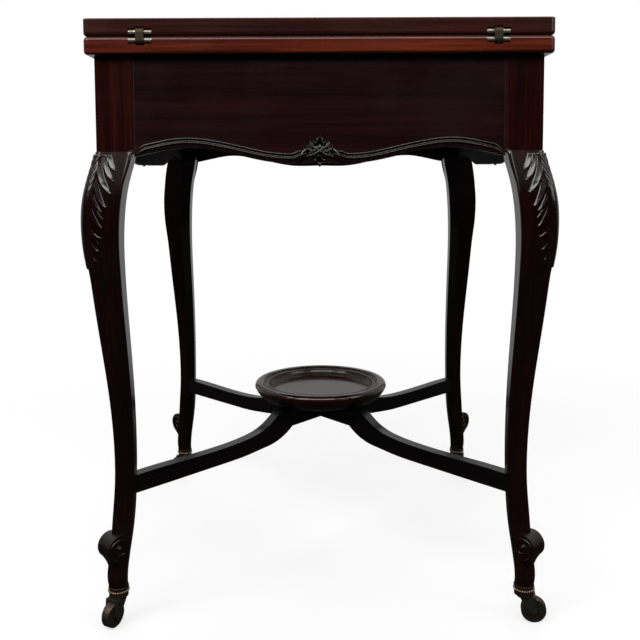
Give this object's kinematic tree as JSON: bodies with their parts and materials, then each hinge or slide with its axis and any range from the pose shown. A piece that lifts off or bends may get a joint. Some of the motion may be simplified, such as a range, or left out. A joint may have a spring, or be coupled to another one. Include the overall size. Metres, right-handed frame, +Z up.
{
  "type": "card table",
  "caption": "Square card table on cabriole legs with castors: the top swivels and triangular leaves unfold from the centre on link hinges, with a turned dish on a crossed stretcher.",
  "frame": {"origin": "centre of the table on the floor", "axes": "+Z up, front faces -Y, +X to the right seen from the front"},
  "size_m": [0.5624, 0.5622, 0.74],
  "materials": {
    "mahogany_dark": "french polish, very dark red-brown",
    "mahogany_carved": "french polish over carving",
    "mahogany_dish": "french polish, turned",
    "mahogany_leaf": "french polish, dark brown",
    "mahogany_board": "french polish, red-brown",
    "inner_wood": "bare",
    "baize": "woven wool, matt",
    "hinge_brass": "worn brass",
    "link_bronze": "darkened brass",
    "castor_brass": "darkened brass",
    "castor_bronze": "dark bronze",
    "steel": "plain"
  },
  "bodies": {
    "frame": {"leg_back_right": "mahogany_dark", "leg_back_left": "mahogany_dark", "leg_front_left": "mahogany_dark", "leg_front_right": "mahogany_dark", "apron_back": "mahogany_dark", "apron_left": "mahogany_dark", "apron_front": "mahogany_dark", "apron_right": "mahogany_dark", "bead_back": "mahogany_carved", "bead_left": "mahogany_carved", "bead_front": "mahogany_carved", "bead_right": "mahogany_carved", "flower_back": "mahogany_carved", "flower_left": "mahogany_carved", "flower_front": "mahogany_carved", "flower_right": "mahogany_carved", "corner_blocks": "inner_wood", "pivot_bearer": "inner_wood", "bearer_cleats": "inner_wood", "cleat_screws": "steel", "pivot_bush": "hinge_brass", "stretcher_rail_a": "mahogany_dark", "stretcher_rail_b": "mahogany_dark", "dish": "mahogany_dish", "dish_screws": "steel", "castor_cups": "castor_brass"},
    "top": {"top_board": "mahogany_board", "playing_baize": "baize", "board_hinge_plates": "hinge_brass", "pivot_plate": "steel", "pivot_bolt": "steel", "pivot_nut": "steel", "pivot_washer": "steel", "pivot_screws": "steel", "stop_peg": "inner_wood"},
    "links_back": {"hinge_links_back": "link_bronze"},
    "leaf_back": {"leaf_back": "mahogany_leaf", "leaf_baize_back": "baize", "leaf_hinge_plates_back": "hinge_brass"},
    "links_left": {"hinge_links_left": "link_bronze"},
    "leaf_left": {"leaf_left": "mahogany_leaf", "leaf_baize_left": "baize", "leaf_hinge_plates_left": "hinge_brass"},
    "links_front": {"hinge_links_front": "link_bronze"},
    "leaf_front": {"leaf_front": "mahogany_leaf", "leaf_baize_front": "baize", "leaf_hinge_plates_front": "hinge_brass"},
    "links_right": {"hinge_links_right": "link_bronze"},
    "leaf_right": {"leaf_right": "mahogany_leaf", "leaf_baize_right": "baize", "leaf_hinge_plates_right": "hinge_brass"},
    "castor_back_right": {"castor_fork_back_right": "castor_bronze"},
    "wheel_back_right": {"castor_wheel_back_right": "castor_bronze"},
    "castor_back_left": {"castor_fork_back_left": "castor_bronze"},
    "wheel_back_left": {"castor_wheel_back_left": "castor_bronze"},
    "castor_front_left": {"castor_fork_front_left": "castor_bronze"},
    "wheel_front_left": {"castor_wheel_front_left": "castor_bronze"},
    "castor_front_right": {"castor_fork_front_right": "castor_bronze"},
    "wheel_front_right": {"castor_wheel_front_right": "castor_bronze"}
  },
  "joints": [
    {"name": "top_swivel", "type": "hinge", "parent": "frame", "child": "top", "pos_m": [0, 0, 0.7], "axis": [0, 0, 1], "range_deg": [0, 45]},
    {"name": "link_fold_back", "type": "hinge", "parent": "top", "child": "links_back", "pos_m": [0, 0.27095, 0.71475], "axis": [-1, 0, 0], "range_deg": [0, 90]},
    {"name": "leaf_fold_back", "type": "hinge", "parent": "links_back", "child": "leaf_back", "pos_m": [0, 0.27095, 0.72375], "axis": [-1, 0, 0], "range_deg": [0, 90]},
    {"name": "link_fold_left", "type": "hinge", "parent": "top", "child": "links_left", "pos_m": [-0.27095, 0, 0.71475], "axis": [0, -1, 0], "range_deg": [0, 90]},
    {"name": "leaf_fold_left", "type": "hinge", "parent": "links_left", "child": "leaf_left", "pos_m": [-0.27095, 0, 0.72375], "axis": [0, -1, 0], "range_deg": [0, 90]},
    {"name": "link_fold_front", "type": "hinge", "parent": "top", "child": "links_front", "pos_m": [0, -0.27095, 0.71475], "axis": [1, 0, 0], "range_deg": [0, 90]},
    {"name": "leaf_fold_front", "type": "hinge", "parent": "links_front", "child": "leaf_front", "pos_m": [0, -0.27095, 0.72375], "axis": [1, 0, 0], "range_deg": [0, 90]},
    {"name": "link_fold_right", "type": "hinge", "parent": "top", "child": "links_right", "pos_m": [0.27095, 0, 0.71475], "axis": [0, 1, 0], "range_deg": [0, 90]},
    {"name": "leaf_fold_right", "type": "hinge", "parent": "links_right", "child": "leaf_right", "pos_m": [0.27095, 0, 0.72375], "axis": [0, 1, 0], "range_deg": [0, 90]},
    {"name": "castor_swivel_back_right", "type": "hinge", "parent": "frame", "child": "castor_back_right", "pos_m": [0.25344, 0.25344, 0.03], "axis": [0, 0, 1], "continuous": true},
    {"name": "castor_roll_back_right", "type": "hinge", "parent": "castor_back_right", "child": "wheel_back_right", "pos_m": [0.25944, 0.26383, 0.0155], "axis": [-0.866, 0.5, 0], "continuous": true},
    {"name": "castor_swivel_back_left", "type": "hinge", "parent": "frame", "child": "castor_back_left", "pos_m": [-0.25344, 0.25344, 0.03], "axis": [0, 0, 1], "continuous": true},
    {"name": "castor_roll_back_left", "type": "hinge", "parent": "castor_back_left", "child": "wheel_back_left", "pos_m": [-0.26383, 0.25944, 0.0155], "axis": [-0.5, -0.866, 0], "continuous": true},
    {"name": "castor_swivel_front_left", "type": "hinge", "parent": "frame", "child": "castor_front_left", "pos_m": [-0.25344, -0.25344, 0.03], "axis": [0, 0, 1], "continuous": true},
    {"name": "castor_roll_front_left", "type": "hinge", "parent": "castor_front_left", "child": "wheel_front_left", "pos_m": [-0.2587, -0.26422, 0.0155], "axis": [0.8988, -0.4384, 0], "continuous": true},
    {"name": "castor_swivel_front_right", "type": "hinge", "parent": "frame", "child": "castor_front_right", "pos_m": [0.25344, -0.25344, 0.03], "axis": [0, 0, 1], "continuous": true},
    {"name": "castor_roll_front_right", "type": "hinge", "parent": "castor_front_right", "child": "wheel_front_right", "pos_m": [0.26526, -0.25552, 0.0155], "axis": [0.1736, 0.9848, 0], "continuous": true}
  ],
  "couplings": [
    {"joint": "link_fold_back", "follows": "leaf_fold_back", "ratio": 1},
    {"joint": "link_fold_left", "follows": "leaf_fold_left", "ratio": 1},
    {"joint": "link_fold_front", "follows": "leaf_fold_front", "ratio": 1},
    {"joint": "link_fold_right", "follows": "leaf_fold_right", "ratio": 1}
  ]
}
